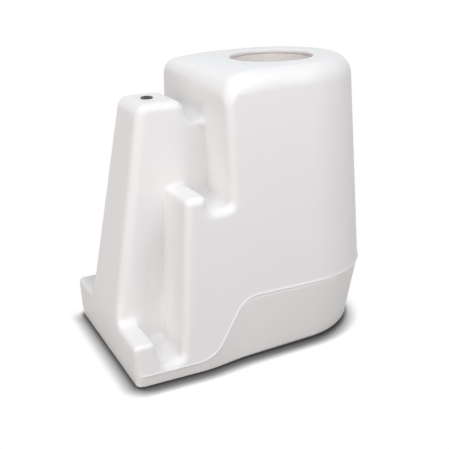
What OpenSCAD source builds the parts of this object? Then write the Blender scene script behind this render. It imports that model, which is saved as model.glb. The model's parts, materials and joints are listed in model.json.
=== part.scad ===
// Moulded marine tank: drafted tower with a recessed fill cap, leaning outlet column, ribs and feet.
// Millimetres, +Z up, origin under the middle of the base, fill tower towards +X, front towards -Y.

/* [Tower] */
// Height of the tower's top above the floor
tower_h = 346.5; // [330:0.5:360]
// Half depth of the tower at its top
tower_r = 97; // [94:0.5:100]
// Draft of the tower's sides in degrees
tower_draft = 3.45; // [3:0.05:4.5]
// X of the fill opening and of the tower's round end
fill_x = 65; // [62:0.5:68]
// X of the tower's flat face
tower_left = -42.5; // [-46:0.5:-40]
// Radius of the tower's upright corners
tower_corner = 11; // [9:0.5:15]
// Radius of the edge round the tower's top
tower_edge = 15; // [12:0.5:20]
// Wall thickness of both mouldings
wall = 5; // [4:0.25:5.5]

/* [Column] */
// How far the column's top lies below the tower's
column_drop = 35; // [28:0.5:42]
// X of the column's outer face at its top
column_left = -129; // [-132:0.5:-126]
// X of the column's inner face
column_right = -68.5; // [-70:0.5:-66]
// Half depth of the column at its top
column_r = 39; // [36:0.5:43]
// Draft of the column's front and back in degrees
column_draft = 3.1; // [2.5:0.1:3.5]
// Radius of the column's outer upright corners
column_corner = 12; // [9:0.5:14]
// Radius of the column's upright corners towards the tower
column_inner = 23; // [14:0.5:24]
// Radius of the edge round the column's top
column_edge = 11; // [8:0.5:12]

/* [Web, rib and pocket] */
// How far the web's top lies below the column's
web_drop = 33.5; // [30:0.5:40]
// Half thickness of the web
web_r = 35; // [32:0.5:37]
// Height of the rib's top
rib_h = 208; // [200:0.5:215]
// X of the rib's outer face at its top
rib_left = -101.5; // [-104:0.5:-99]
// Width of the rib at its top
rib_w = 31; // [28:0.5:33]
// Draft of the rib's outer face in degrees
rib_draft = 4.3; // [3.5:0.1:5.5]
// Height of the strap pocket's floor
pocket_h = 193; // [184:1:197]
// Radius of the small upper edges
small_edge = 6; // [4:0.5:7]

/* [Base] */
// X of the outer end of the feet
foot_left = -178; // [-182:0.5:-175]
// X of the inner side of the feet at their top
foot_right = -152; // [-154:0.5:-149]
// Draft of the inner side of the feet in degrees
foot_draft = 12; // [6:0.5:14]
// Height of the feet
foot_h = 51; // [46:1:58]
// Height of the groove floor between foot and rib
groove_h = 25; // [24.5:0.5:30]
// Seam height at the column end
seam_low = 15; // [14.5:0.5:16.5]
// Seam height at the tower end
seam_high = 83; // [76:1:90]
// X of the middle of the seam's rise
seam_x = -56; // [-60:0.5:-53]
// Angle of the seam's rise in degrees
seam_rise = 58; // [52:0.5:62]
// Radius of the bend at the foot of the rise
seam_bend_low = 38; // [30:1:44]
// Radius of the bend at the head of the rise
seam_bend_high = 28; // [22:1:32]
// Set-back of the pan under the shell's edge
pan_step = 2; // [1.5:0.1:2.2]
// Inward draft of the pan in degrees
pan_draft = 9.1; // [8:0.1:13]
// Radius of the base pads
pad_r = 14; // [11:0.5:16]
// How far the pads stand out
pad_proud = 1; // [0.8:0.1:1.5]
// Distance of the column-end pads from the end of the feet
pad_end = 45; // [35:1:55]
// Half spacing of the column-end pads
pad_wide = 75; // [60:1:80]
// Distance of the tower-end pads past the fill opening
pad_reach = 40; // [30:1:45]
// Half spacing of the tower-end pads
pad_narrow = 45; // [35:1:50]

/* [Fill] */
// Radius of the fill opening
fill_r = 51; // [49:0.5:53]
// Depth from the rim to the ledge that the cap seals on
well_depth = 24; // [22:0.5:28]
// Width of the ledge that the cap seals on
ledge_w = 6; // [6:0.25:7]
// Length of the collar's neck below the ledge
neck_len = 30; // [26:1:36]
// Height of the cap's rim
cap_rim = 6.2; // [5.5:0.1:7]
// Length of the cap's skirt below the ledge
skirt_len = 22; // [20:0.5:24]
// Finger gap between the folding handle and the wall of the cap's dish
bail_gap = 5; // [4:0.5:7]
// Radius of the handle's pivot pins
bail_pin_r = 2; // [1.5:0.1:2.4]
// Section of the cap's sealing ring
oring_d = 3; // [2.6:0.1:3.2]

/* [Outlet and pickup] */
// X of the outlet port
port_x = -102; // [-105:0.5:-98]
// Radius of the port's flange
port_r = 7.2; // [6.9:0.1:9]
// Radius of the port's threaded hole
port_thread_r = 4.283; // [4.1:0.001:4.6]
// Radius of the port's shank
port_shank_r = 6; // [5.6:0.1:6.3]
// Radius of the pickup tube
tube_r = 4; // [3.4:0.1:4]
// Bore radius of the pickup tube
tube_bore_r = 2.75; // [2:0.05:2.8]
// Radius of the foot valve
valve_r = 12; // [11:0.25:14]
// Radius of the valve's seat
seat_r = 5; // [4.5:0.1:5.5]

/* [Fits] */
// Running clearance of pins, stems and the cap's skirt
run_fit = 0.05; // [0.03:0.01:0.08]
// Free clearance of the cap's rim and of the shell's holes
free_fit = 0.5; // [0.4:0.05:0.6]

/* [Hidden] */

// Steps of the plans' corners and round end, facets of holes in the shells and of turned pieces
corner_steps = 6;
end_steps = 32;
plan_fn = 32;
bore_fn = 96;
$fn = bore_fn;
thin = 0.01;
edge_steps = [0, 30, 60, 90];
far = 400;

// Shell heights and the rib's inner face
column_h = tower_h - column_drop;
web_h = column_h - web_drop;
rib_right = rib_left + rib_w;
tower_in = tower_h - wall;
column_in = column_h - wall;
seal_h = 1.2;
base_corner = small_edge + 2;
ring_h = 4;
ring_w = 2.5;
ring_inset = [wall + run_fit, wall + run_fit + ring_w];
seal_inset = [pan_step + 0.5, wall - 0.2];
pan_z = pad_proud;
pan_round = 0.08;
floor_z = pan_z + wall;
pad_depth = 2;

// Collar and cap heights
gasket_h = 2;
flange_h = 4;
collar_top = tower_in - gasket_h;
spigot_w = 1.5;
spigot_top = tower_in - free_fit;
flange_w = 13;
flange_r = fill_r + flange_w;
well_wall = 5;
ledge_z = tower_h - well_depth;
ledge_h = 8;
neck_r = fill_r - ledge_w;
neck_wall = 5;
neck_z = ledge_z - neck_len;
seal_squeeze = 0.03;
rim_z = ledge_z + 0.8;
cap_top = rim_z + cap_rim;
skirt_r = neck_r - run_fit;
skirt_wall = 5;
skirt_in = skirt_r - skirt_wall;
skirt_z = ledge_z - skirt_len;
dish_floor = 3;
dish_drop = 6;
dish_z = ledge_z - dish_drop;
rim_r = fill_r - free_fit;
oring_r = (skirt_r + rim_r) / 2 + 0.3;
oring_z = ledge_z + seal_squeeze + oring_d / 2;
hub_r = 13;
hub_top = cap_top - 3;

// Folding handle
bail_w = 6;
bail_h = 5;
bail_r = skirt_in - bail_gap - bail_w / 2;
bail_z = ledge_z + 1.5;
eye_r = 4;
rest_w = 8;

// Vent in the cap's hub
vent_chamber_r = 7;
vent_seat_z = hub_top - 4;
vent_hole_r = 3;
vent_disc_r = 6;
vent_disc_h = 3.5;
vent_tip_r = 1.8;
vent_stem_r = 2;
vent_disc_z = vent_seat_z - run_fit - vent_disc_h;
retainer_h = 3;
retainer_rise = 6;
retainer_z = skirt_z + retainer_rise;
hub_z = retainer_z;
vent_slot_r = 1;
vent_slots = 4;
spring_wire = 0.9;
vent_spring_r = 3.8;

// Outlet and foot valve
port_flange_h = 1;
port_washer_h = 0.6;
port_flange_z = column_h + port_washer_h;
port_top = port_flange_z + port_flange_h;
thread_len = 12;
thread_z = port_top - thread_len;
shank_len = 11;
shank_z = thread_z - shank_len;
nut_h = 5;
nut_r = 11;
strainer_z = floor_z + 3;
strainer_h = 15;
strainer_wall = 1.5;
strainer_slots = 12;
slot_w = 2;
valve_z = strainer_z + strainer_h;
seat_h = 4;
chamber_r = 8.5;
chamber_h = 10;
chamber_z = valve_z + seat_h;
roof_z = chamber_z + chamber_h;
roof_h = 2;
tube_z = roof_z + roof_h;
socket_h = 8;
socket_wall = 3;
disc_r = 7.5;
disc_h = 2.5;
disc_z = chamber_z + run_fit;
guide_r = 2;
guide_h = 4;
valve_spring_r = 3.5;

// Half depth of the tower and the blocks at height z
function half_depth(z) = tower_r + tan(tower_draft) * (tower_h - z);
// Half depth of the column at height z
function column_depth(z) = column_r + tan(column_draft) * (column_h - z);
// X of the rib's outer face at height z
function rib_x(z) = rib_left - tan(rib_draft) * (rib_h - z);
// X of the feet's inner side at height z
function foot_x(z) = foot_right + tan(foot_draft) * (foot_h - z);

// Size of the pan's lower edge where its rim is at height s
function pan_corner(s) = (s - pan_z) * pan_round;

// Seam line as [x, z] points: level, bend, straight rise, bend, level
seam_mid = (seam_low + seam_high) / 2;
seam_run = (seam_mid - seam_low) / tan(seam_rise);
low_x = seam_x - seam_run - seam_bend_low * tan(seam_rise / 2);
high_x = seam_x + seam_run + seam_bend_high * tan(seam_rise / 2);
bend_steps = 5;
low_bend = [for (i = [0 : bend_steps]) let (a = i * seam_rise / bend_steps)
    [low_x + seam_bend_low * sin(a), seam_low + seam_bend_low * (1 - cos(a))]];
high_bend = [for (i = [bend_steps : -1 : 0]) let (a = i * seam_rise / bend_steps)
    [high_x - seam_bend_high * sin(a), seam_high - seam_bend_high * (1 - cos(a))]];
seam_line = concat(low_bend, high_bend);

// Points of an arc from angle a0 to a1
function arc(cx, cy, r, a0, a1, steps) = [for (i = [0 : steps]) let (a = a0 + (a1 - a0) * i / steps)
    [cx + r * cos(a), cy + r * sin(a)]];

// Rectangle from x0 to x1, half depth r, with corners rounded by corner at x0 and by inner at x1
function round_plan(x0, x1, r, corner, inner) = concat(
    arc(x1 - inner, r - inner, inner, 0, 90, corner_steps),
    arc(x0 + corner, r - corner, corner, 90, 180, corner_steps),
    arc(x0 + corner, corner - r, corner, 180, 270, corner_steps),
    arc(x1 - inner, inner - r, inner, 270, 360, corner_steps));

// Half disc about the fill opening, towards +X
function round_end(r) = arc(fill_x, 0, r, -90, 90, end_steps);

// Plan with a flat end at x0, half depth r and a round end about the fill opening
function d_plan(x0, r, corner) = concat(round_end(r),
    arc(x0 + corner, r - corner, corner, 90, 180, corner_steps),
    arc(x0 + corner, corner - r, corner, 180, 270, corner_steps));

// Plan lifted to height z
function lift(plan, z) = [for (p = plan) [p[0], p[1], z]];

// Steps up a rounded top edge as [height, set-back]
function edge_curve(top, edge) = [for (a = edge_steps) [top - edge * (1 - sin(a)), edge * (1 - cos(a))]];

// Convex solid around a list of point lists
module skin(plans) {
    points = [for (plan = plans, p = plan) p];
    hull()
        polyhedron(points, [[for (i = [0 : len(points) - 1]) i]]);
}

// Tower, drawn inset by t for its hollow
module tower(t) {
    corner = tower_corner - t / 2;
    skin(concat(
        [lift(d_plan(tower_left + t, half_depth(0) - t, corner), 0)],
        [for (e = edge_curve(tower_h - t, tower_edge - t))
            lift(d_plan(tower_left + t + e[1], half_depth(e[0]) - t - e[1], corner), e[0])]));
}

// Block below the strap pockets, flush with the tower
module lower_block(t) {
    corner = tower_corner - t / 2;
    skin([for (z = [0, pocket_h - t])
        lift(round_plan(rib_x(z) + t, fill_x, half_depth(z) - t, corner, corner), z)]);
}

// Rib that stands above the pocket floor
module rib(t) {
    corner = tower_corner - t / 2;
    edge = edge_curve(rib_h - t, small_edge - t / 2);
    skin(concat(
        [lift(round_plan(rib_x(0) + t, rib_right - t, half_depth(0) - t, corner, corner), 0)],
        [for (e = edge) let (inset = t + e[1])
            lift(round_plan(rib_x(e[0]) + inset, rib_right - inset, half_depth(e[0]) - inset,
                            small_edge, small_edge), e[0])]));
}

// Column, upright as far as the feet and leaning inwards above them
module column(t) {
    corner = column_corner - t / 2;
    inner = column_inner - t / 2;
    edge = edge_curve(column_h - t, column_edge - t / 2);
    skin(concat(
        [for (z = [0, foot_h])
            lift(round_plan(foot_left + t, column_right - t, column_depth(z) - t, corner, inner), z)],
        [for (e = edge) let (inset = t + e[1])
            lift(round_plan(column_left + inset, column_right - inset, column_depth(e[0]) - inset,
                            corner, inner), e[0])]));
}

// Web between the column and the tower
module web(t) {
    edge = edge_curve(web_h - t, small_edge - t / 2);
    skin(concat(
        [lift(round_plan(rib_left, 0, web_r - t, small_edge, small_edge), pocket_h / 2)],
        [for (e = edge)
            lift(round_plan(rib_left, 0, web_r - t - e[1], small_edge, small_edge), e[0])]));
}

// Feet at both corners, made as one bar that runs under the column
module feet(t) {
    edge = edge_curve(foot_h - t, small_edge - t / 2);
    skin(concat(
        [lift(round_plan(foot_left + t, foot_x(0) - t, half_depth(0) - t, base_corner, base_corner), 0)],
        [for (e = edge) let (inset = t + e[1])
            lift(round_plan(foot_left + inset, foot_x(e[0]) - inset, half_depth(e[0]) - inset,
                            small_edge, small_edge), e[0])]));
}

// Floor of the grooves between the feet and the rib
module groove_floor(t) {
    skin([for (z = [0, groove_h - t])
        lift(round_plan(foot_left + tower_corner + t, rib_left + t, half_depth(z) - t,
                        small_edge, small_edge), z)]);
}

// All of the upper body, inset by t
module upper_body(t) {
    tower(t);
    lower_block(t);
    rib(t);
    column(t);
    web(t);
    feet(t);
    groove_floor(t);
}

// Everything between two heights measured from the seam
module seam_band(low, high) {
    edge = concat([[-far, seam_low]], seam_line, [[far, seam_high]]);
    back = [for (i = [len(edge) - 1 : -1 : 0]) edge[i]];
    rotate([90, 0, 0])
        linear_extrude(2 * far, center = true)
            polygon(concat([for (p = edge) p + [0, low]], [for (p = back) p + [0, high]]));
}

// Outline of the shell's lower edge as a solid, inset by t
module skirt_body(t) {
    skin([for (z = [0, seam_high + ring_h + 2])
        lift(d_plan(foot_left + t, half_depth(z) - t, base_corner), z)]);
}

// Half depth of the pan's rim and foot where the rim is at height s, inset by t
function pan_rim(s, t) = half_depth(s) - pan_step - t;
function pan_foot(s, t) = pan_rim(s, t) - tan(pan_draft) * (s - pan_z);

// Cross-section of the pan at x, with its rim at height s, inset by t and topped up by rise
function pan_slice(x, s, t, rise) = [for (side = [-1, 1], p = [
    [pan_foot(s, t) - pan_corner(s), pan_z + t],
    [pan_foot(s, t), pan_z + t + pan_corner(s)],
    [pan_rim(s, t), s],
    [pan_rim(s, t), s + rise]]) [x, side * p[0], p[1]]];

// Solid of the pan below the seam, inset by t
module pan_body(t, rise) {
    line = [for (p = seam_line) p - [0, seal_h]];
    first = line[0];
    last = line[len(line) - 1];
    left_top = foot_left + pan_step + t;
    left_foot = left_top + tan(pan_draft) * (first[1] - pan_z);
    chamfer = pan_corner(first[1]);
    // Shallow part under the column end, as [left end, half depth, height] of each level
    levels = [
        [left_foot + chamfer, pan_foot(first[1], t) - chamfer, pan_z + t],
        [left_foot, pan_foot(first[1], t), pan_z + t + chamfer],
        [left_top, pan_rim(first[1], t), first[1]],
        [left_top, pan_rim(first[1], t), first[1] + rise]];
    skin(concat(
        [pan_slice(first[0], first[1], t, rise)],
        [for (v = levels) lift(round_plan(v[0], first[0], v[1], base_corner, base_corner), v[2])]));
    // Rising part under the seam's S
    for (i = [0 : len(line) - 2])
        skin([for (p = [line[i], line[i + 1]]) pan_slice(p[0], p[1], t, rise)]);
    // Deep part with the round end
    skin([pan_slice(last[0], last[1], t, rise),
          lift(round_end(pan_foot(last[1], t) - pan_corner(last[1])), pan_z + t),
          lift(round_end(pan_foot(last[1], t)), pan_z + t + pan_corner(last[1])),
          lift(round_end(pan_rim(last[1], t)), last[1]),
          lift(round_end(pan_rim(last[1], t)), last[1] + rise)]);
}

// Places of the base pads
module at_pads() {
    for (place = [[foot_left + pad_end, pad_wide], [fill_x + pad_reach, pad_narrow]], side = [-1, 1])
        translate([place[0], side * place[1], 0])
            children();
}

// Coil from height z0 to z1 about the Z axis
module coil(r, wire, z0, z1, turns) {
    around = 18;
    section = 8;
    steps = around * turns;
    lead = (z1 - z0 - wire) / steps;
    points = [for (i = [0 : steps], j = [0 : section - 1])
        let (a = 360 * i / around, b = 360 * j / section, q = r + wire / 2 * cos(b))
        [q * cos(a), q * sin(a), z0 + wire / 2 + i * lead + wire / 2 * sin(b)]];
    sides = [for (i = [0 : steps - 1], j = [0 : section - 1]) let (k = (j + 1) % section)
        [i * section + j, i * section + k, (i + 1) * section + k, (i + 1) * section + j]];
    caps = [[for (j = [section - 1 : -1 : 0]) j], [for (j = [0 : section - 1]) steps * section + j]];
    polyhedron(points, concat([for (f = sides) [f[3], f[2], f[1], f[0]]],
                              [for (f = caps) [for (i = [section - 1 : -1 : 0]) f[i]]]), convexity = 10);
}

module upper_shell() {
    color("white")
        difference() {
            upper_body(0);
            upper_body(wall);
            seam_band(-far, 0);
            translate([fill_x, 0, tower_in - tower_edge])
                cylinder(tower_edge + far, r = fill_r, $fn = bore_fn);
            translate([port_x, 0, column_in - wall])
                cylinder(far, r = port_shank_r + free_fit / 2, $fn = plan_fn);
        }
}

module base_pan() {
    color("whitesmoke")
        difference() {
            pan_body(0, 0);
            pan_body(wall, wall);
            at_pads()
                translate([0, 0, -far])
                    cylinder(far + pan_z + pad_depth, r = pad_r + free_fit / 2, $fn = plan_fn);
        }
}

module seam_seal() {
    color("dimgray")
        intersection() {
            difference() {
                skirt_body(seal_inset[0]);
                skirt_body(seal_inset[1]);
            }
            seam_band(-seal_h, 0);
        }
}

module joint_ring() {
    color("white")
        intersection() {
            difference() {
                skirt_body(ring_inset[0]);
                skirt_body(ring_inset[1]);
            }
            seam_band(-seal_h, ring_h);
        }
}

module base_pads() {
    color("black")
        at_pads()
            cylinder(pan_z + pad_depth, r = pad_r);
}

module fill_collar() {
    color("white")
        translate([fill_x, 0, 0])
            rotate_extrude()
                polygon([[fill_r, spigot_top], [fill_r + spigot_w, spigot_top],
                         [fill_r + spigot_w, collar_top], [flange_r, collar_top],
                         [flange_r, collar_top - flange_h],
                         [fill_r + well_wall, collar_top - flange_h], [fill_r + well_wall, ledge_z - ledge_h],
                         [neck_r + neck_wall, ledge_z - ledge_h], [neck_r + neck_wall, neck_z],
                         [neck_r, neck_z], [neck_r, ledge_z], [fill_r, ledge_z]]);
}

module collar_gasket() {
    color("black")
        translate([fill_x, 0, collar_top])
            difference() {
                cylinder(gasket_h, r = flange_r - 1);
                translate([0, 0, -thin])
                    cylinder(gasket_h + 2 * thin, r = fill_r + spigot_w + free_fit);
            }
}

module fill_cap() {
    groove = oring_d / 2 + 0.2;
    color("white")
        translate([fill_x, 0, 0])
            difference() {
                union() {
                    rotate_extrude()
                        polygon([[vent_hole_r, vent_seat_z], [vent_hole_r, hub_top], [hub_r, hub_top],
                                 [hub_r, dish_z], [skirt_in, dish_z], [skirt_in, cap_top],
                                 [rim_r, cap_top], [rim_r, rim_z],
                                 [oring_r + groove, rim_z], [oring_r + groove, oring_z + groove],
                                 [oring_r - groove, oring_z + groove], [oring_r - groove, rim_z],
                                 [skirt_r, rim_z], [skirt_r, skirt_z], [skirt_in, skirt_z],
                                 [skirt_in, dish_z - dish_floor], [hub_r, dish_z - dish_floor],
                                 [hub_r, hub_z], [vent_chamber_r, hub_z], [vent_chamber_r, vent_seat_z]]);
                    translate([-rest_w / 2, -bail_r - bail_w / 2, dish_z - dish_floor / 2])
                        cube([rest_w, bail_w, bail_z - bail_h / 2 - run_fit - dish_z + dish_floor / 2]);
                }
                for (s = [-1, 1])
                    translate([s * (skirt_in - 1), 0, bail_z])
                        rotate([0, s * 90, 0])
                            cylinder(4, r = bail_pin_r);
            }
}

module cap_oring() {
    color("black")
        translate([fill_x, 0, oring_z])
            rotate_extrude()
                translate([oring_r, 0])
                    circle(oring_d / 2, $fn = plan_fn);
}

module cap_bail() {
    color("silver")
        translate([fill_x, 0, bail_z])
            difference() {
                union() {
                    rotate([0, 0, 180])
                        rotate_extrude(angle = 180)
                            translate([bail_r - bail_w / 2, -bail_h / 2])
                                square([bail_w, bail_h]);
                    for (s = [-1, 1])
                        translate([s * bail_r - bail_w / 2, 0, 0])
                            rotate([0, 90, 0])
                                cylinder(bail_w, r = eye_r);
                }
                translate([-far, 0, 0])
                    rotate([0, 90, 0])
                        cylinder(2 * far, r = bail_pin_r + run_fit);
            }
}

module bail_pins() {
    length = skirt_in + 3 - bail_r + bail_w / 2 + 1;
    color("silver")
        translate([fill_x, 0, bail_z])
            for (s = [-1, 1])
                translate([s * (skirt_in + 3 - length), 0, 0])
                    rotate([0, s * 90, 0])
                        cylinder(length, r = bail_pin_r);
}

module vent_poppet() {
    color("dimgray")
        translate([fill_x, 0, 0])
            rotate_extrude()
                polygon([[0, retainer_z - 1], [vent_stem_r, retainer_z - 1], [vent_stem_r, vent_disc_z],
                         [vent_disc_r, vent_disc_z], [vent_disc_r, vent_disc_z + vent_disc_h],
                         [vent_tip_r, vent_disc_z + vent_disc_h], [vent_tip_r, hub_top - 1],
                         [0, hub_top - 1]]);
}

module vent_spring() {
    color("silver")
        translate([fill_x, 0, 0])
            coil(vent_spring_r, spring_wire, retainer_z + retainer_h, vent_disc_z, 4);
}

module vent_retainer() {
    color("white")
        translate([fill_x, 0, retainer_z])
            difference() {
                cylinder(retainer_h, r = vent_chamber_r);
                translate([0, 0, -thin])
                    cylinder(retainer_h + 2 * thin, r = vent_stem_r + run_fit);
                for (i = [0 : vent_slots - 1])
                    rotate([0, 0, i * 360 / vent_slots])
                        translate([(vent_stem_r + vent_chamber_r) / 2, 0, -thin])
                            cylinder(retainer_h + 2 * thin, r = vent_slot_r);
            }
}

module outlet_bush() {
    color("black")
        translate([port_x, 0, 0])
            rotate_extrude()
                polygon([[port_thread_r, port_top], [port_r, port_top], [port_r, port_flange_z],
                         [port_shank_r, port_flange_z], [port_shank_r, shank_z], [tube_r, shank_z],
                         [tube_r, thread_z], [port_thread_r, thread_z]]);
}

module outlet_washer() {
    color("black")
        translate([port_x, 0, column_h])
            difference() {
                cylinder(port_washer_h, r = port_r);
                translate([0, 0, -thin])
                    cylinder(port_washer_h + 2 * thin, r = port_shank_r);
            }
}

module outlet_nut() {
    color("black")
        translate([port_x, 0, column_in - nut_h])
            difference() {
                cylinder(nut_h, r = nut_r, $fn = 6);
                translate([0, 0, -thin])
                    cylinder(nut_h + 2 * thin, r = port_shank_r);
            }
}

module pickup_tube() {
    color("gainsboro")
        translate([port_x, 0, tube_z])
            difference() {
                cylinder(thread_z - tube_z, r = tube_r);
                translate([0, 0, -thin])
                    cylinder(thread_z - tube_z + 2 * thin, r = tube_bore_r);
            }
}

module foot_valve_body() {
    color("dimgray")
        translate([port_x, 0, 0])
            rotate_extrude()
                polygon([[seat_r, valve_z], [valve_r, valve_z], [valve_r, tube_z],
                         [tube_r + socket_wall, tube_z + socket_h], [tube_r, tube_z + socket_h],
                         [tube_r, tube_z], [tube_bore_r, tube_z], [tube_bore_r, roof_z],
                         [chamber_r, roof_z], [chamber_r, chamber_z], [seat_r, chamber_z]]);
}

module foot_valve_poppet() {
    color("white")
        translate([port_x, 0, 0])
            rotate_extrude()
                polygon([[0, valve_z], [guide_r, valve_z], [guide_r, disc_z], [disc_r, disc_z],
                         [disc_r, disc_z + disc_h], [guide_r, disc_z + disc_h],
                         [guide_r, disc_z + disc_h + guide_h], [0, disc_z + disc_h + guide_h]]);
}

module foot_valve_spring() {
    color("silver")
        translate([port_x, 0, 0])
            coil(valve_spring_r, spring_wire, disc_z + disc_h, roof_z, 4);
}

module foot_strainer() {
    color("gainsboro")
        translate([port_x, 0, strainer_z])
            difference() {
                cylinder(strainer_h, r = valve_r);
                translate([0, 0, strainer_wall])
                    cylinder(strainer_h, r = valve_r - strainer_wall);
                for (i = [0 : strainer_slots - 1])
                    rotate([0, 0, (i + 0.5) * 360 / strainer_slots])
                        translate([0, -slot_w / 2, 2 * strainer_wall])
                            cube([valve_r + 1, slot_w, strainer_h - 4 * strainer_wall]);
            }
}

upper_shell();
base_pan();
seam_seal();
joint_ring();
base_pads();
fill_collar();
collar_gasket();
fill_cap();
cap_oring();
cap_bail();
bail_pins();
vent_poppet();
vent_spring();
vent_retainer();
outlet_bush();
outlet_washer();
outlet_nut();
pickup_tube();
foot_valve_body();
foot_valve_poppet();
foot_valve_spring();
foot_strainer();
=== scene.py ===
"""Looks of a white moulded marine tank with a recessed fill cap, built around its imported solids."""

from __future__ import annotations

import json
import logging
import math
from dataclasses import dataclass
from enum import Enum
from typing import Callable

import bmesh
import bpy
import numpy as np
from mathutils import Matrix, Vector

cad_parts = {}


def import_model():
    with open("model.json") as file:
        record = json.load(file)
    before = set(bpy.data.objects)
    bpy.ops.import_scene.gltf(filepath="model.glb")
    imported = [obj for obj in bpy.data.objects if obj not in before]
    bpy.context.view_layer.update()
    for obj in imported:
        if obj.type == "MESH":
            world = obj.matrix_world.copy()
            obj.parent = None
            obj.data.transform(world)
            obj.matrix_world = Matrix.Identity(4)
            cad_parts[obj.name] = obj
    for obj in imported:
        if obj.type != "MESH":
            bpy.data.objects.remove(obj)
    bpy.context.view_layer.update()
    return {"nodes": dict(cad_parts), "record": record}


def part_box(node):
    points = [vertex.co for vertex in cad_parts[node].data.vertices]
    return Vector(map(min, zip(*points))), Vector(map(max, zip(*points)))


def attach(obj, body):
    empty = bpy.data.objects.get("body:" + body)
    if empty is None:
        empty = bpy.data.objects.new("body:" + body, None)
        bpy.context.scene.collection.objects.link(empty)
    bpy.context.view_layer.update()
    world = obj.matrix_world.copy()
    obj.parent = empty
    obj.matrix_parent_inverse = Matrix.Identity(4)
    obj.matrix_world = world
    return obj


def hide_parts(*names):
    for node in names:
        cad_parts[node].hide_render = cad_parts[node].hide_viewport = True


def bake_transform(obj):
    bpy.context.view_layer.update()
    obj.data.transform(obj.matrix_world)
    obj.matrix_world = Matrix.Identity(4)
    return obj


LOG = logging.getLogger("tank")
MM = 0.001
TINY = 1e-12
BATCH = 20000
FINE_WELD = 0.002
WIDE_WELD = 0.01
QUARTER = 0.5 * math.pi
TURN = 2.0 * math.pi
WHITE = (1.0, 1.0, 1.0, 1.0)
Array = np.ndarray
Colour = tuple[float, float, float]
Span = tuple[float, float]
Mesh = tuple[Array, Array]
Field = Callable[[Array, Array, Array], Array]
Socket = bpy.types.NodeSocket


class Body(str, Enum):
    """Bodies of the frame that a new piece rides on."""

    TANK = "tank"
    CAP = "cap"
    HANDLE = "handle"
    VENT = "vent"
    FOOT_VALVE = "foot_valve"


def smooth_step(low: float, high: float, value: Array) -> Array:
    """Goes from 0 at low to 1 at high along three t squared less two t cubed."""
    t = np.clip((value - low) / (high - low), 0.0, 1.0)
    return t * t * (3.0 - 2.0 * t)


def between(first: float | Array, last: float | Array, share: Array) -> Array:
    """Goes straight from a first value at share 0 to a last one at share 1."""
    return first + (last - first) * share


def meet(a: Array, b: Array, radius: float | Array) -> Array:
    """Gives the distance to what is inside both solids, with the edge between them rounded.

    Within one radius of both faces the distance is the length of the two depths past the rounding's
    centre line, less the radius. Elsewhere it is the larger of the two distances.

    Args:
        a: Distance to the first solid, negative inside.
        b: Distance to the second solid.
        radius: Radius of the rounded edge.

    Returns:
        The distance to the rounded meeting of the two solids.
    """
    past = np.hypot(np.maximum(a + radius, 0.0), np.maximum(b + radius, 0.0))
    return np.minimum(np.maximum(a, b), -radius) + past


def blend(a: Array, b: Array, radius: float | Array) -> Array:
    """Gives the distance to two solids joined, with the inner corner between them filled.

    Within one radius outside both faces the distance is the radius less the length of the two gaps
    to the fillet's centre line. Elsewhere it is the smaller of the two distances.

    Args:
        a: Distance to the first solid, negative inside.
        b: Distance to the second solid.
        radius: Radius of the inner fillet.

    Returns:
        The distance to the joined solid.
    """
    short = np.hypot(np.maximum(radius - a, 0.0), np.maximum(radius - b, 0.0))
    return np.maximum(np.minimum(a, b), radius) - short


def graded(*spans: tuple[float, float, float]) -> Array:
    """Gives grid lines over spans of start, end and step, each span divided evenly."""
    lines = [np.linspace(a, b, max(2, round((b - a) / step) + 1)) for a, b, step in spans]
    return np.unique(np.round(np.concatenate(lines), 6))


def unit(rows: Array) -> Array:
    """Scales each row to length 1."""
    return rows / np.linalg.norm(rows, axis=1, keepdims=True)


def box_mm(node: str) -> tuple[Array, Array]:
    """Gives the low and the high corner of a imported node's box, in millimetres."""
    low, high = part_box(node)
    return np.array(low) / MM, np.array(high) / MM


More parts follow.
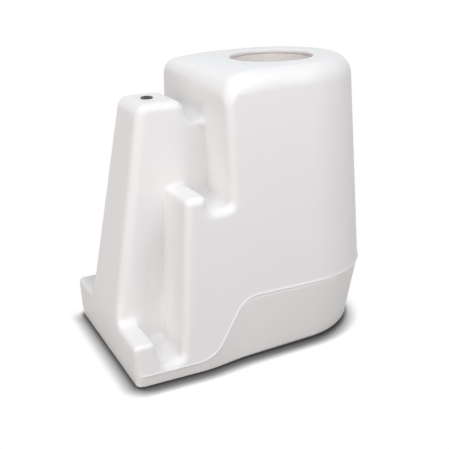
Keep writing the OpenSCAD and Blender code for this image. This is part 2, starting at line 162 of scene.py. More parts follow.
@dataclass(frozen=True)
class Outline:
    """A closed outline in a plane, given by corners of across, up and rounding radius."""

    corners: tuple[tuple[float, float, float], ...]
    steps: int = 7

    @classmethod
    def box(cls, half: Span, radius: float, steps: int) -> Outline:
        """Gives a rectangle round the origin with rounded corners."""
        a, b = half
        return cls(((-a, -b, radius), (a, -b, radius), (a, b, radius), (-a, b, radius)), steps)

    def points(self) -> Array:
        """Rounds each corner to an arc that touches both of its sides.

        The arc's centre is on the line that halves the corner, the radius over the sine of the half
        angle away. Its points turn evenly from the one touching point to the other.

        Returns:
            The outline's points, one row each.
        """
        corner = np.array(self.corners, float)
        place = corner[:, :2]
        radius = corner[:, 2:]
        back = unit(np.roll(place, 1, axis=0) - place)
        ahead = unit(np.roll(place, -1, axis=0) - place)
        half = 0.5 * np.arccos(np.clip(np.sum(back * ahead, axis=1, keepdims=True), -1.0, 1.0))
        centre = place + unit(back + ahead) * radius / np.sin(half)
        start = (place + back * radius / np.tan(half) - centre)[:, None]
        end = (place + ahead * radius / np.tan(half) - centre)[:, None]
        turn = (np.pi - 2.0 * half)[:, None]
        share = np.linspace(0.0, 1.0, self.steps)[None, :, None]
        arc = np.sin((1.0 - share) * turn) * start + np.sin(share * turn) * end
        return (centre[:, None] + arc / np.sin(turn)).reshape(-1, 2)

    def dense(self, spacing: float) -> Array:
        """Gives the outline's points with each long side divided evenly into parts of about a spacing."""
        begin = self.points()
        end = np.roll(begin, -1, axis=0)
        parts = np.maximum(1, np.round(np.linalg.norm(end - begin, axis=1) / spacing)).astype(int)
        which = np.repeat(np.arange(len(begin)), parts)
        count = np.arange(len(which)) - np.repeat(np.cumsum(parts) - parts, parts)
        share = (count / parts[which])[:, None]
        return begin[which] * (1.0 - share) + end[which] * share

    def distance(self, across: Array, up: Array) -> Array:
        """Measures how far points are from the outline, negative inside.

        The distance is the least over all sides of the gap to the nearest point of the side. A point
        is inside when a line from it crosses the outline an odd number of times.

        Args:
            across: First coordinate of the points.
            up: Second coordinate of the points.

        Returns:
            The signed distances, in the shape of the points.
        """
        across, up = np.broadcast_arrays(across, up)
        begin = self.points()
        side = np.roll(begin, -1, axis=0) - begin
        square = np.maximum(np.sum(side * side, axis=1), TINY)
        rise = np.where(np.abs(side[:, 1]) < TINY, TINY, side[:, 1])
        found = np.empty(across.size)
        flat_across = across.ravel()
        flat_up = up.ravel()
        for part in np.array_split(np.arange(across.size), across.size // BATCH + 1):
            u = flat_across[part][:, None] - begin[:, 0]
            v = flat_up[part][:, None] - begin[:, 1]
            share = np.clip((u * side[:, 0] + v * side[:, 1]) / square, 0.0, 1.0)
            gap = np.hypot(u - share * side[:, 0], v - share * side[:, 1]).min(axis=1)
            spans = (v < 0.0) != (v < side[:, 1])
            crossed = spans & (u < side[:, 0] * v / rise)
            inside = np.count_nonzero(crossed, axis=1) % 2 == 1
            found[part] = np.where(inside, -gap, gap)
        return found.reshape(across.shape)


def make_object(name: str, mesh: Mesh, gap: float | None = None) -> bpy.types.Object:
    """Puts points in millimetres and quads into a new smooth object.

    Args:
        name: Name of the object and of its mesh.
        mesh: Points, one row each, and quads.
        gap: Points closer than this are merged and the faces turned outwards. Without it both stay.

    Returns:
        The object, in the scene.
    """
    points, quads = mesh
    data = bpy.data.meshes.new(name)
    data.vertices.add(len(points))
    data.vertices.foreach_set("co", (points * MM).astype(np.float32).ravel())
    data.loops.add(quads.size)
    data.loops.foreach_set("vertex_index", quads.astype(np.int32).ravel())
    data.polygons.add(len(quads))
    data.polygons.foreach_set("loop_start", np.arange(len(quads), dtype=np.int32) * quads.shape[1])
    data.polygons.foreach_set("use_smooth", np.ones(len(quads), bool))
    data.update(calc_edges=True)
    data.validate()
    if gap is not None:
        work = bmesh.new()
        work.from_mesh(data)
        bmesh.ops.remove_doubles(work, verts=work.verts, dist=gap * MM)
        bmesh.ops.recalc_face_normals(work, faces=work.faces)
        work.to_mesh(data)
        work.free()
    made = bpy.data.objects.new(name, data)
    bpy.context.scene.collection.objects.link(made)
    return made


def grid_mesh(points: Array, closed_rows: bool, closed_columns: bool = True) -> Mesh:
    """Joins a grid of points by quads, with its last row or column joined to the first if closed."""
    rows, columns = points.shape[:2]
    row = np.arange(rows if closed_rows else rows - 1)[:, None]
    column = np.arange(columns if closed_columns else columns - 1)[None, :]
    here = row * columns
    after = (row + 1) % rows * columns
    beside = (column + 1) % columns
    corners = np.broadcast_arrays(here + column, after + column, after + beside, here + beside)
    return points.reshape(-1, 3), np.stack(corners, axis=-1).reshape(-1, 4)


def together(*meshes: Mesh) -> Mesh:
    """Puts several meshes into one."""
    starts = np.cumsum([0] + [len(points) for points, _ in meshes[:-1]])
    quads = [mesh[1] + start for start, mesh in zip(starts, meshes)]
    return np.concatenate([points for points, _ in meshes]), np.concatenate(quads)


def wire(angle: Array, radius: float, height: Array, section: Array, axis: Span) -> Mesh:
    """Carries a closed section round an upright axis, and closes both ends to a point.

    Args:
        angle: Angle about the axis at each place along the wire.
        radius: How far the wire's middle is from the axis.
        height: Height of the wire's middle at each place.
        section: Points of the section, each out from the middle and up from it.
        axis: Place of the axis.

    Returns:
        The wire's mesh.
    """
    thick = np.pad(np.ones(len(angle)), 1)[:, None]
    angle = np.pad(angle, 1, "edge")[:, None]
    out = radius + thick * section[:, 0]
    up = np.pad(height, 1, "edge")[:, None] + thick * section[:, 1]
    return grid_mesh(np.stack([axis[0] + out * np.cos(angle), axis[1] + out * np.sin(angle), up], 2), False)


@dataclass(frozen=True)
class SurfaceNet:
    """Meshes the zero level of a distance field on a grid of points."""

    place: Array
    field: Field
    rounds: int = 3
    reach: float = 0.04
    limit: float = 1.2
    least_slope: float = 0.2

    def value(self, points: Array) -> Array:
        """Reads the field at points whose last axis is x, y, z."""
        return self.field(points[..., 0], points[..., 1], points[..., 2])

    def build(self) -> Mesh:
        """Makes one point for each cell that the surface passes and one quad for each edge it crosses.

        A cell's point starts at the mean of the places where the surface crosses the cell's edges,
        and then settles on the surface. The four cells round a crossed edge make the quad.

        Returns:
            The points and the quads.
        """
        value = self.value(self.place)
        inside = value < 0.0
        cells = tuple(n - 1 for n in value.shape)
        total = np.zeros((*cells, 3))
        count = np.zeros(cells)
        crossings = []
        for axis in range(3):
            low = tuple(slice(None, -1) if a == axis else slice(None) for a in range(3))
            high = tuple(slice(1, None) if a == axis else slice(None) for a in range(3))
            crossed = inside[low] != inside[high]
            change = np.where(crossed, value[low] - value[high], 1.0)
            share = np.where(crossed, value[low] / change, 0.0)[..., None]
            point = (self.place[low] * (1.0 - share) + self.place[high] * share) * crossed[..., None]
            u = (axis + 1) % 3
            v = (axis + 2) % 3
            for first in (0, 1):
                for second in (0, 1):
                    window = [slice(None)] * 3
                    window[u] = slice(first, first + cells[u])
                    window[v] = slice(second, second + cells[v])
                    total += point[tuple(window)]
                    count += crossed[tuple(window)]
            crossings.append(crossed)
        active = count > 0
        number = np.full(cells, -1)
        number[active] = np.arange(np.count_nonzero(active))
        points = total[active] / count[active][:, None]
        quads = [self.quads(axis, crossings[axis], inside, number) for axis in range(3)]
        return self.settle(points), np.concatenate(quads)

    @staticmethod
    def quads(axis: int, crossed: Array, inside: Array, number: Array) -> Array:
        """Joins the four cells round every crossed edge along an axis, turned to face outwards."""
        where = np.argwhere(crossed)
        u = (axis + 1) % 3
        v = (axis + 2) % 3
        keep = np.ones(len(where), bool)
        for side in (u, v):
            keep &= (where[:, side] >= 1) & (where[:, side] <= number.shape[side] - 1)
        where = where[keep]
        step_u = np.eye(3, dtype=int)[u]
        step_v = np.eye(3, dtype=int)[v]
        ring = [where - step_u - step_v, where - step_v, where, where - step_u]
        quads = np.stack([number[tuple(r.T)] for r in ring], axis=1)
        outward = inside[tuple(where.T)]
        return np.where(outward[:, None], quads, quads[:, ::-1])

    def settle(self, points: Array) -> Array:
        """Moves points onto the surface: each round goes the field's value along its slope."""
        for _ in range(self.rounds):
            here = self.value(points)
            ahead = [self.value(points + self.reach * step) for step in np.eye(3)]
            slope = np.stack([(value - here) / self.reach for value in ahead], axis=-1)
            size = np.maximum(np.sum(slope * slope, axis=-1), self.least_slope)
            points = points - np.clip(here / size, -self.limit, self.limit)[:, None] * slope
        return points


@dataclass(frozen=True)
class TankForm:
    """Shape of the moulded body, in millimetres, read from the frame or measured in the photo.

    A span gives two places between which one form fades into the next. Most are counted from the edge
    that they belong to.
    """

    foot_left: float
    tower_h: float
    column_h: float
    fill_x: float
    port_x: float
    tower_r: float = 97.0
    tower_draft: float = math.radians(3.45)
    tower_left: float = -44.0
    tower_edge_span: Span = (4.0, 30.0)
    tower_high_span: Span = (-60.0, -34.0)
    tower_top_span: Span = (-27.0, -3.0)
    tower_front_span: Span = (-30.0, 70.0)
    tower_rounding: Span = (7.5, 13.5)
    crown_drop: float = 4.0
    crown_reach: float = 55.0
    crown_bend: float = 90.0
    shoulder_bend: float = 16.0
    corner_fall: float = 13.0
    corner_reach: float = 46.0
    corner_past: Span = (1.3, 1.2)
    corner_span: Span = (-95.0, -30.0)
    corner_wall: float = 0.25
    column_left: float = -127.6
    column_right: float = -68.5
    column_r: float = 39.0
    column_draft: float = math.radians(3.1)
    column_bend: float = 13.0
    column_edge: Span = (10.0, 5.0)
    column_edge_span: Span = (-74.0, -62.0)
    web_h: float = 284.0
    web_within: float = 30.0
    web_bend: float = 12.5
    web_turn_span: Span = (-235.0, -110.0)
    web_start: Span = (-82.0, -150.0)
    web_soft: Span = (12.0, 45.0)
    web_slope: Span = (0.3, 0.5)
    saddle_span: Span = (-14.0, -1.0)
    saddle_fillet: float = 9.5
    rib_h: float = 213.5
    rib_left: float = -100.5
    rib_right: float = -74.5
    rib_draft: float = math.radians(5.2)
    rib_bend: Span = (8.0, 6.0)
    pocket_h: float = 195.0
    pocket_set: float = 1.0
    pocket_bend: Span = (6.5, 8.0)
    foot_right: float = -152.0
    foot_draft: float = math.radians(12.0)
    foot_h: float = 53.5
    foot_set: float = 0.8
    foot_lean: float = -0.03
    foot_bend: float = 4.0
    foot_edge: float = 5.0
    foot_edge_more: float = 4.5
    foot_edge_span: Span = (2.0, 16.0)
    groove_h: float = 24.0
    groove_bend: Span = (7.0, 9.0)
    groove_fillet: Span = (10.0, 2.5)
    groove_fillet_span: Span = (60.0, 90.0)
    knee_bend: float = 190.0
    left_edge: float = 13.0
    left_low_less: float = 3.0
    left_low_span: Span = (-9.0, 36.0)
    left_crisp_less: float = 4.0
    left_crisp_start: Span = (-25.0, -3.0)
    left_crisp_end: Span = (4.0, 36.0)
    seam_low: float = 14.0
    seam_high: float = 83.0
    seam_x: float = -56.0
    seam_rise: float = math.radians(58.0)
    seam_bend_low: float = 38.0
    seam_bend_high: float = 32.0
    seam_steps: int = 24
    rim_edge: float = 0.8
    bead: float = 1.0
    bead_h: float = 2.2
    bead_span: Span = (2.0, 14.0)
    wall: float = 5.0
    thicker: float = 1.6
    thicker_span: Span = (17.0, 33.0)
    thicker_rise: Span = (8.0, 20.0)
    fill_r: float = 51.0
    lip_r: float = 2.8
    shank_r: float = 6.2
    hole_share: float = 0.8

    @classmethod
    def from_frame(cls) -> TankForm:
        """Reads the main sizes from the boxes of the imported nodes."""
        shell_low, shell_high = box_mm("upper_shell")
        collar = np.mean(box_mm("fill_collar"), axis=0)
        washer = np.mean(box_mm("outlet_washer"), axis=0)
        washer_low, _ = box_mm("outlet_washer")
        return cls(shell_low[0], shell_high[2], washer_low[2], collar[0], washer[0])

    def left_end(self, z: float) -> float:
        """Place of the left end at a height: it leans in a little towards the floor."""
        return self.foot_left + self.foot_set - self.foot_lean * (self.foot_h - z)

    def half_depth(self, z: float | Array) -> float | Array:
        """Half the body's depth at a height: it widens downwards by the tower's draft."""
        return self.tower_r + math.tan(self.tower_draft) * (self.tower_h - z)

    def seam(self, x: Array) -> Array:
        """Height of the joint of shell and pan: level, an arc up, a straight rise, an arc over, level."""
        turn = np.linspace(0.0, self.seam_rise, self.seam_steps)
        low_out = self.seam_bend_low * np.sin(turn)
        low_up = self.seam_bend_low * (1.0 - np.cos(turn))
        high_out = self.seam_bend_high * np.sin(turn[::-1])
        high_down = self.seam_bend_high * (1.0 - np.cos(turn[::-1]))
        half = 0.5 * (self.seam_high - self.seam_low)
        slope = math.tan(self.seam_rise)
        low_centre = self.seam_x + (low_up[-1] - half) / slope - low_out[-1]
        high_centre = self.seam_x + (half - high_down[0]) / slope + high_out[0]
        path_x = np.concatenate([low_centre + low_out, high_centre - high_out])
        path_z = np.concatenate([self.seam_low + low_up, self.seam_high - high_down])
        return np.interp(x, path_x, path_z)

    def beyond(self) -> tuple[float, float, float, float]:
        """Gives places well outside the body: left of it, right, under and over."""
        return 2.0 * self.foot_left, self.fill_x + 4.0 * self.tower_r, -0.2 * self.tower_h, 2.0 * self.tower_h

    def body_outline(self) -> Outline:
        """Front view of everything that shares the front face: foot, groove, rib, pocket, tower."""
        left, right, under, _ = self.beyond()
        rib_foot = self.rib_left - math.tan(self.rib_draft) * (self.rib_h - self.groove_h)
        foot_in = self.foot_right + math.tan(self.foot_draft) * (self.foot_h - self.groove_h)
        return Outline((
            (left, under, 0.0), (left, self.foot_h, 0.0), (self.foot_right, self.foot_h, self.foot_bend),
            (foot_in, self.groove_h, self.groove_bend[0]), (rib_foot, self.groove_h, self.groove_bend[1]),
            (self.rib_left, self.rib_h, self.rib_bend[0]), (self.rib_right, self.rib_h, self.rib_bend[1]),
            (self.rib_right + self.pocket_set, self.pocket_h, self.pocket_bend[0]),
            (self.tower_left, self.pocket_h, self.pocket_bend[1]),
            (self.tower_left, self.tower_h - self.crown_drop, self.shoulder_bend),
            (self.tower_left + self.crown_reach, self.tower_h, self.crown_bend),
            (right, self.tower_h, 0.0), (right, under, 0.0),
        ))

    def column_outline(self) -> Outline:
        """Front view of column and web: a level top, rounded down to a saddle and level to the tower."""
        left, _, under, _ = self.beyond()
        within = self.tower_left + self.web_within
        return Outline((
            (left, under, 0.0), (left, self.column_h, 0.0),
            (self.column_right, self.column_h, self.column_bend),
            (self.column_right, self.web_h, self.web_bend), (within, self.web_h, 0.0), (within, under, 0.0),
        ))

    def left_outline(self) -> Outline:
        """Everything right of the left end: one face that leans a little at the feet, more at the column."""
        _, right, under, over = self.beyond()
        lean = (self.column_left - self.foot_left) / (self.column_h - self.foot_h)
        return Outline((
            (self.left_end(under), under, 0.0), (self.left_end(self.foot_h), self.foot_h, self.knee_bend),
            (self.column_left + lean * (over - self.column_h), over, 0.0), (right, over, 0.0),
            (right, under, 0.0),
        ))

    def column_depth(self, x: Array, z: Array) -> Array:
        """Half the depth of column and web: drafted downwards, and drawn in towards the tower.

        The drawing in starts softly, like a hyperbola, and then goes on at a steady slope. Above the
        rib it starts near the column's right side, below it further left and steeper, so the front
        turns away from the groove.

        Args:
            x: Along the body.
            z: Up.

        Returns:
            The half depth at each place.
        """
        low = smooth_step(*self.web_turn_span, -z)
        past = np.maximum(x - between(*self.web_start, low), 0.0)
        soft = between(*self.web_soft, low)
        drawn = between(*self.web_slope, low) * (np.hypot(past, soft) - soft)
        return self.column_r + math.tan(self.column_draft) * (self.column_h - z) - drawn

    def corner_drop(self, x: Array, y: Array, z: Array) -> Array:
        """How much lower the tower's top lies: it rolls off to the left, and more towards the front."""
        past_left, past_front = self.corner_past
        left = np.clip(1.0 - (x - self.tower_left) / self.corner_reach, 0.0, past_left) ** 2
        front = np.clip(0.5 * (1.0 - y / self.tower_r), 0.0, past_front)
        return self.corner_fall * left * front * smooth_step(*self.corner_span, z - self.tower_h)

    def outer(self, x: Array, y: Array, z: Array) -> Array:
        """Distance to the outside of the body, before it is cut at the joint.

        The front outline is met with the plan, whose right end is round, then the column with its web
        is blended on, and the left end cut. Each side leans by its draft.

        Args:
            x: Along the body.
            y: Across it.
            z: Up.

        Returns:
            Distances, negative inside.
        """
        plan = np.hypot(np.maximum(x - self.fill_x, 0.0), y) - self.half_depth(z)
        lifted = z + self.corner_drop(x, y, z)
        under_top = lifted - self.tower_h
        over = smooth_step(*self.tower_edge_span, x - self.tower_left)
        over = over * smooth_step(*self.tower_high_span, under_top)
        top = np.maximum(over, smooth_step(*self.tower_top_span, under_top))
        top = top * between(*self.tower_rounding, smooth_step(*self.tower_front_span, -y))
        foot = self.foot_edge_more * smooth_step(*self.foot_edge_span, x - self.foot_right)
        front = self.body_outline().distance(x, lifted)
        body = meet(front, plan * math.cos(self.tower_draft), self.foot_edge + foot + top)
        flank = (np.abs(y) - self.column_depth(x, z)) * math.cos(self.column_draft)
        edge = between(*self.column_edge, smooth_step(*self.column_edge_span, x))
        column = meet(self.column_outline().distance(x, z), flank, edge)
        fillet = between(*self.groove_fillet, smooth_step(*self.groove_fillet_span, z))
        fillet = fillet + self.saddle_fillet * smooth_step(*self.saddle_span, z - self.web_h)
        above = z - self.foot_h
        low = 1.0 - smooth_step(*self.left_low_span, above)
        crisp = smooth_step(*self.left_crisp_start, above) * (1.0 - smooth_step(*self.left_crisp_end, above))
        edge = self.left_edge - self.left_low_less * low - self.left_crisp_less * crisp
        return meet(blend(body, column, fillet), self.left_outline().distance(x, z), edge)

    def shell(self, x: Array, y: Array, z: Array) -> Array:
        """Distance to the upper shell: the body's wall, cut at the joint, the fill hole and the port.

        The wall is what is inside the body and no deeper than its thickness. A slight bead swells the
        last millimetres above the joint, and the fill hole's edge is rounded.

        Args:
            x: Along the body.
            y: Across it.
            z: Up.

        Returns:
            Distances, negative inside the wall.
        """
        height = z - self.seam(x)
        outer = self.outer(x, y, z)
        bead = self.bead * smooth_step(*self.bead_span, x - self.foot_left)
        proud = outer - bead * np.exp(-((height / self.bead_h) ** 2))
        away = np.hypot(x - self.fill_x, y)
        hole = np.where(z > self.hole_share * self.tower_h, self.fill_r - away, -self.fill_r)
        port = self.shank_r - np.hypot(x - self.port_x, y)
        port = np.where(z > self.hole_share * self.column_h, port, -self.shank_r)
        cut = meet(meet(proud, hole, self.lip_r), -height, self.rim_edge)
        thicker = self.thicker * smooth_step(*self.thicker_span, away - self.fill_r)
        depth = self.wall + thicker * smooth_step(*self.thicker_rise, height)
        depth = depth + self.corner_wall * self.corner_drop(x, y, z)
        return np.maximum(np.maximum(cut, -(outer + depth)), port)


@dataclass(frozen=True)
class UpperShell:
    """The moulded upper part: tower, column, web, rib, pockets and feet in one blended skin."""

    form: TankForm
    margin: float = 6.0
    fine: float = 2.6
    level_step: float = 2.4
    plain_x: float = -30.0
    hole_margin: float = 7.0
    right_margin: float = 24.0
    plain_y: Span = (60.0, 88.0)
    reach_y: float = 122.0
    joint: Span = (-1.4, 4.9)
    feet_z: float = 60.0
    level_z: float = 125.0
    rib_z: Span = (183.0, 216.0)
    top_z: float = 266.0
    top_margin: float = 3.0

    def grid(self) -> Array:
        """Lays the grid, fine at walls, edges and joint, with a level that follows the joint's S line."""
        f = self.form
        hole = f.fill_x - f.fill_r - self.hole_margin
        right = f.fill_x + f.tower_r + self.right_margin
        left, plain = f.foot_left - self.margin, self.plain_x
        x = graded((left, plain, self.fine), (plain, hole, 5.5), (hole, right, 2.7))
        plain, edge = self.plain_y
        side = graded((0.0, plain, self.fine), (plain, edge, 4.0), (edge, self.reach_y, self.fine))
        y = np.concatenate([-side[:0:-1], side])
        low = f.seam_low
        joint, start = low + self.joint[0], low + self.joint[1]
        rib, rib_top = self.rib_z
        level = graded(
            (joint, start, 0.7), (start, self.feet_z, 2.5), (self.feet_z, self.level_z, 4.6),
            (self.level_z, rib, 5.8), (rib, rib_top, self.level_step), (rib_top, self.top_z, 5.5),
            (self.top_z, f.tower_h + self.top_margin, self.level_step),
        )
        share = np.clip((self.level_z - level) / (self.level_z - low), 0.0, 1.0)
        lift = (f.seam(x) - low)[:, None]
        z = level[None, :] + np.minimum(lift * share[None, :], lift)
        return np.stack(np.broadcast_arrays(x[:, None, None], y[None, :, None], z[:, None, :]), axis=-1)

    def build(self) -> bpy.types.Object:
        """Makes the shell's mesh."""
        return make_object("shell_skin", SurfaceNet(self.grid(), self.form.shell).build())


@dataclass(frozen=True)
class BasePan:
    """The pan under the joint: its section is carried round the plan's outline, in millimetres."""

    form: TankForm
    step: float = 0.4
    gap: float = 0.35
    left_gap_share: float = 0.2
    tongue: float = 0.3
    edge_drop: float = 0.5
    lip: tuple[float, float, float] = (2.3, 2.2, 0.6)
    taper: float = 0.055
    taper_start: float = -87.0
    lean: Span = (0.7, 1.3)
    floor: float = 0.6
    wall: float = 4.5
    corner: float = 9.8
    left_set: float = 0.2
    left_span: Span = (0.3, 1.0)
    rise_x: Span = (-100.0, -20.0)
    bend: Span = (0.7, 0.55)
    bend_limits: Span = (1.5, 8.0)
    middle_start: float = 60.0
    seal_in: Span = (2.7, 4.2)
    seal_up: Span = (0.04, 0.28)

    def path(self) -> tuple[Array, Array, Array]:
        """Walks round the plan: front side, round end, back side, left end with its two corners.

        Returns:
            The centre that each place is measured from, the direction outwards and the distance out.
        """
        f = self.form
        reach = f.left_end(f.seam_low) + self.left_set + self.corner
        rise, level = self.rise_x
        front = graded((reach, rise, 5.0), (rise, level, 1.6), (level, f.fill_x, 6.0))[:-1]
        turn = np.linspace(-QUARTER, QUARTER, 90)
        corner = np.linspace(QUARTER, np.pi, 9)
        edge = f.half_depth(f.seam(front)) - self.step
        end = f.half_depth(f.seam_high) - self.step
        left = f.half_depth(f.seam_low) - self.step - self.corner
        across = np.linspace(1.0, -1.0, 41)[1:-1] * left
        legs = (
            (front, 0.0, -QUARTER, edge),
            (f.fill_x, 0.0, turn, end),
            (front[::-1], 0.0, QUARTER, edge[::-1]),
            (reach, left, corner, self.corner),
            (reach, across, np.pi, self.corner),
            (reach, -left, corner + QUARTER, self.corner),
        )
        x, y, angle, out = np.concatenate([np.stack(np.broadcast_arrays(*leg)) for leg in legs], axis=1)
        return np.stack([x, y], 1), np.stack([np.cos(angle), np.sin(angle)], 1), out

    def carried(self, inset: Array, height: Array) -> Array:
        """Carries a section, given by how far in and how high its points are, round the plan."""
        centre, outward, out = self.path()
        flat = centre[:, None, :] + outward[:, None, :] * (out[:, None] - inset)[..., None]
        return np.concatenate([flat, height[..., None]], 2)

    def section(self, rim: Array, reach: Array, inset: float, steps: tuple[int, int]) -> tuple[Array, Array]:
        """Gives the wall's section from the rim down: a leaning line and an arc into the floor.

        The line leans in so that it would meet the floor at the reach. The arc's centre is one radius
        above the floor, past the line's foot by the radius over the tangent of half the corner's angle.

        Args:
            rim: Height of the rim at each place.
            reach: How far in the floor's edge is at each place.
            inset: How far in the line starts, and how far the floor is over the pan's underside.
            steps: Points on the line and on the arc.

        Returns:
            The distance in from the outline and the height, one row for each place.
        """
        floor = self.floor + inset
        draft = np.arctan2(reach, rim - self.floor)[:, None]
        radius = np.clip(self.bend[0] + self.bend[1] * reach, *self.bend_limits)[:, None]
        foot = inset + (rim[:, None] - floor) * np.tan(draft)
        centre = foot + radius / np.tan(0.5 * (QUARTER + draft))
        share = np.linspace(0.0, 1.0, steps[1])[None, :]
        turn = between(np.pi + draft, np.pi + QUARTER, share)
        arc_in = centre + radius * np.cos(turn)
        arc_up = floor + radius + radius * np.sin(turn)
        share = np.linspace(0.0, 1.0, steps[0])[None, :-1]
        line_in = between(inset, arc_in[:, :1], share)
        line_up = between(rim[:, None], arc_up[:, :1], share)
        return np.concatenate([line_in, arc_in], 1), np.concatenate([line_up, arc_up], 1)

    def build(self) -> bpy.types.Object:
        """Makes the pan: outer wall and floor, rim, inner wall and floor, closed along the middle line."""
        f = self.form
        centre, outward, out = self.path()
        along = centre[:, 0] + outward[:, 0] * out
        left = smooth_step(*self.left_span, -outward[:, 0])
        rim = f.seam(np.minimum(along, f.fill_x)) - self.gap * between(1.0, self.left_gap_share, left)
        taper = self.taper * np.maximum(along - self.taper_start, 0.0)
        reach = self.lean[0] + (self.lean[1] + taper) * (1.0 - left)
        outer_in, outer_up = self.section(rim, reach, 0.0, (16, 9))
        inner_in, inner_up = self.section(rim, reach, self.wall, (10, 6))
        outer_up[:, 0] += self.tongue - self.edge_drop
        lip_in = np.tile(self.lip, (len(rim), 1))
        lip_up = rim[:, None] + np.array([[0.0, self.tongue, self.tongue]])
        wall = self.carried(
            np.concatenate([inner_in[:, ::-1], lip_in, outer_in], 1),
            np.concatenate([inner_up[:, ::-1], lip_up, outer_up], 1),
        )
        share = np.linspace(0.0, 1.0, 9)[None, :-1, None]
        floors = []
        for edge in (wall[:, :1], wall[:, -1:]):
            middle = edge * np.array([0.0, 0.0, 1.0])
            middle[:, 0, 0] = np.clip(centre[:, 0], f.foot_left + self.middle_start, f.fill_x)
            floors.append(between(middle, edge, share))
        points = np.concatenate([floors[0], wall, floors[1][:, ::-1]], 1)
        return make_object("pan_skin", grid_mesh(points, True, False), WIDE_WELD)

    def seal(self) -> bpy.types.Object:
        """Makes the seal: a flat strip on the pan's rim, carried round the same outline."""
        centre, outward, out = self.path()
        along = centre[:, 0] + outward[:, 0] * out
        rim = self.form.seam(np.minimum(along, self.form.fill_x)) - self.gap
        near, far = self.seal_in
        low, high = self.seal_up
        inset = np.array([near, far, far, near])
        points = self.carried(inset, rim[:, None] + np.array([low, low, high, high]))
        return make_object("seal_skin", grid_mesh(points, True), WIDE_WELD)


@dataclass(frozen=True)
class Turned:
    """A piece turned about an upright axis: each point of its section goes round at its own radius."""

    section: Outline
    axis: Span
    segments: int = 96
    spacing: float = 50.0
    wave: Field | None = None

    def mesh(self) -> Mesh:
        """Turns the section, with points moved out by the wave's value for angle, radius and height."""
        section = self.section.dense(self.spacing)
        angle = np.linspace(0.0, TURN, self.segments, endpoint=False)[:, None]
        radius = np.broadcast_to(section[:, 0], (self.segments, len(section)))
        height = np.broadcast_to(section[:, 1], radius.shape)
        if self.wave is not None:
            radius = radius + self.wave(angle, radius, height)
        across = self.axis[0] + radius * np.cos(angle)
        deep = self.axis[1] + radius * np.sin(angle)
        return grid_mesh(np.stack([across, deep, height], 2), True)


@dataclass(frozen=True)
class Block:
    """A small upright block with rounded corners and a rounded top edge."""

    centre: Span
    size: Span
    heights: Span
    radius: float

    def mesh(self) -> Mesh:
        """Stacks rings of its plan, drawn in along a quarter circle at the top and closed to a point."""
        half = 0.5 * np.array(self.size)
        plan = Outline.box(tuple(half), 1.5 * self.radius, 5).points()
        low, high = self.heights
        turn = np.linspace(0.0, QUARTER, 6)
        drawn = np.concatenate([[0.0, 0.0], self.radius * (1.0 - np.cos(turn)), [half.min()]])
        height = np.concatenate([[low, low], high - self.radius * (1.0 - np.sin(turn)), [high]])
        scale = 1.0 - drawn[:, None, None] / half[None, None, :]
        scale[0] = 0.0
        flat = plan[None, :, :] * scale + np.array(self.centre)
        upright = np.broadcast_to(height[:, None, None], (*flat.shape[:2], 1))
        return grid_mesh(np.concatenate([flat, upright], 2), False)


